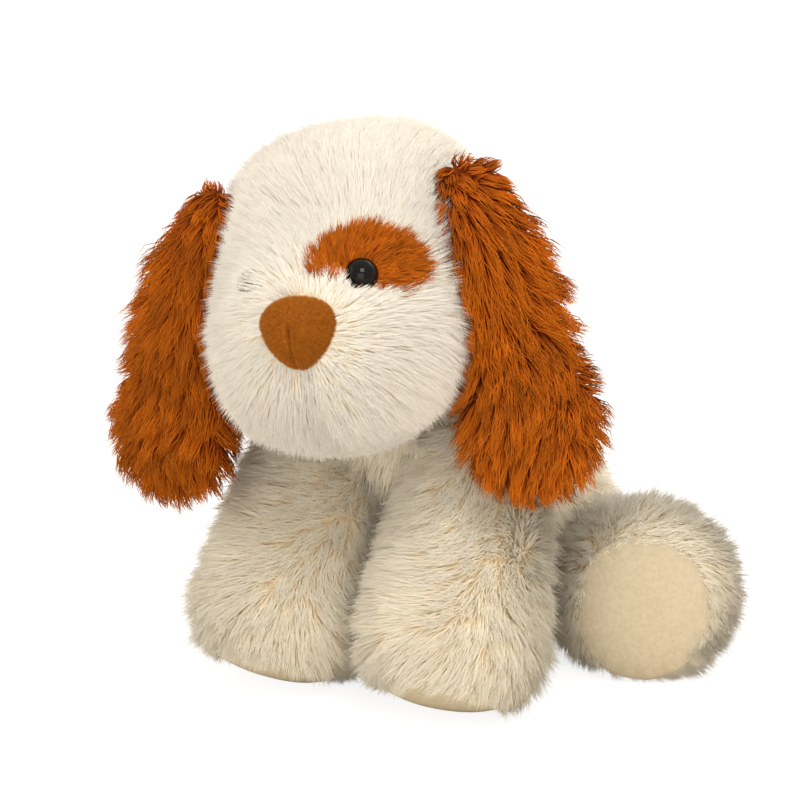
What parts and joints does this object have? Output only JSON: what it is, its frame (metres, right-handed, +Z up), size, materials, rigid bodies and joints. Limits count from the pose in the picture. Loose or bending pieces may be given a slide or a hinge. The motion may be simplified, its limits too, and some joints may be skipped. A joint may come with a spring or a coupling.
{
  "type": "plush toy dog",
  "caption": "Sitting plush puppy with long hanging ears, jointed head, ears, legs and tail, sewn fur covers over loose filling.",
  "frame": {"origin": "middle of the flat patch under the rump, on the floor it sits on", "axes": "+X towards the dog's own left side, -Y the way the dog faces, +Z up from the floor"},
  "size_m": [0.292, 0.3469, 0.2894],
  "materials": {
    "cream_fur": "long soft pile",
    "ear_fur": "long clumped pile",
    "patch_fur": "soft pile",
    "nose_cloth": "short pile",
    "sole_cloth": "short smooth pile",
    "filling": "loose polyester fibre",
    "pellet_bag": "woven cotton",
    "pellets": "small beads",
    "thread": "polyester thread",
    "eye": "polished",
    "washer": "moulded"
  },
  "bodies": {
    "body": {"body_left_panel": "cream_fur", "body_right_panel": "cream_fur", "belly_panel": "cream_fur", "body_stuffing": "filling", "seat_pellet_bag": "pellet_bag", "seat_pellets": "pellets"},
    "neck": {"neck_cover": "cream_fur", "neck_seam_thread": "thread", "neck_stuffing": "filling"},
    "head": {"face_left_panel": "cream_fur", "face_right_panel": "cream_fur", "crown_gusset": "cream_fur", "chin_gusset": "cream_fur", "eye_patch": "patch_fur", "head_stuffing": "filling", "nose_cover": "nose_cloth", "nose_stuffing": "filling", "left_eye": "eye", "right_eye": "eye", "left_eye_washer": "washer", "right_eye_washer": "washer"},
    "tail": {"tail_upper_panel": "cream_fur", "tail_lower_panel": "cream_fur", "tail_stuffing": "filling"},
    "left_ear": {"left_ear_front_panel": "ear_fur", "left_ear_back_panel": "ear_fur"},
    "left_front_leg": {"left_front_leg_outer_panel": "cream_fur", "left_front_leg_inner_panel": "cream_fur", "left_front_leg_stuffing": "filling", "left_front_sole": "sole_cloth"},
    "left_hind_leg": {"left_hind_leg_outer_panel": "cream_fur", "left_hind_leg_inner_panel": "cream_fur", "left_hind_leg_stuffing": "filling", "left_hind_sole": "sole_cloth"},
    "right_ear": {"right_ear_front_panel": "ear_fur", "right_ear_back_panel": "ear_fur"},
    "right_front_leg": {"right_front_leg_outer_panel": "cream_fur", "right_front_leg_inner_panel": "cream_fur", "right_front_leg_stuffing": "filling", "right_front_sole": "sole_cloth"},
    "right_hind_leg": {"right_hind_leg_outer_panel": "cream_fur", "right_hind_leg_inner_panel": "cream_fur", "right_hind_leg_stuffing": "filling", "right_hind_sole": "sole_cloth"}
  },
  "joints": [
    {"name": "neck_turn", "type": "hinge", "parent": "body", "child": "neck", "pos_m": [0, -0.09, 0.173], "axis": [0, 0, 1], "range_deg": [-15, 15], "stiffness_Nm_per_rad": 1.5},
    {"name": "head_nod", "type": "hinge", "parent": "neck", "child": "head", "pos_m": [0, -0.09, 0.173], "axis": [0.9686, 0.2059, 0.1392], "range_deg": [-10, 12], "stiffness_Nm_per_rad": 4, "springref_deg": -2.01},
    {"name": "left_ear_swing", "type": "hinge", "parent": "head", "child": "left_ear", "pos_m": [0.06406, -0.14181, 0.26007], "axis": [0.6383, -0.767, 0.0653], "range_deg": [0, 75]},
    {"name": "right_ear_swing", "type": "hinge", "parent": "head", "child": "right_ear", "pos_m": [-0.05896, -0.16796, 0.24239], "axis": [0.1701, 0.984, 0.0521], "range_deg": [0, 75]},
    {"name": "left_front_leg_swing", "type": "hinge", "parent": "body", "child": "left_front_leg", "pos_m": [0.043, -0.085, 0.122], "axis": [-1, 0, 0], "range_deg": [-12, 15], "stiffness_Nm_per_rad": 0.8},
    {"name": "right_front_leg_swing", "type": "hinge", "parent": "body", "child": "right_front_leg", "pos_m": [-0.043, -0.085, 0.122], "axis": [-1, 0, 0], "range_deg": [-12, 15], "stiffness_Nm_per_rad": 0.8},
    {"name": "left_hind_leg_swing", "type": "hinge", "parent": "body", "child": "left_hind_leg", "pos_m": [0.052, 0.008, 0.042], "axis": [0, 0, 1], "range_deg": [-15, 20], "stiffness_Nm_per_rad": 0.6},
    {"name": "right_hind_leg_swing", "type": "hinge", "parent": "body", "child": "right_hind_leg", "pos_m": [-0.052, 0.008, 0.042], "axis": [0, 0, -1], "range_deg": [-15, 20], "stiffness_Nm_per_rad": 0.6},
    {"name": "tail_wag", "type": "hinge", "parent": "body", "child": "tail", "pos_m": [0, 0.058, 0.052], "axis": [0, 0, 1], "range_deg": [-30, 30], "stiffness_Nm_per_rad": 0.1}
  ]
}
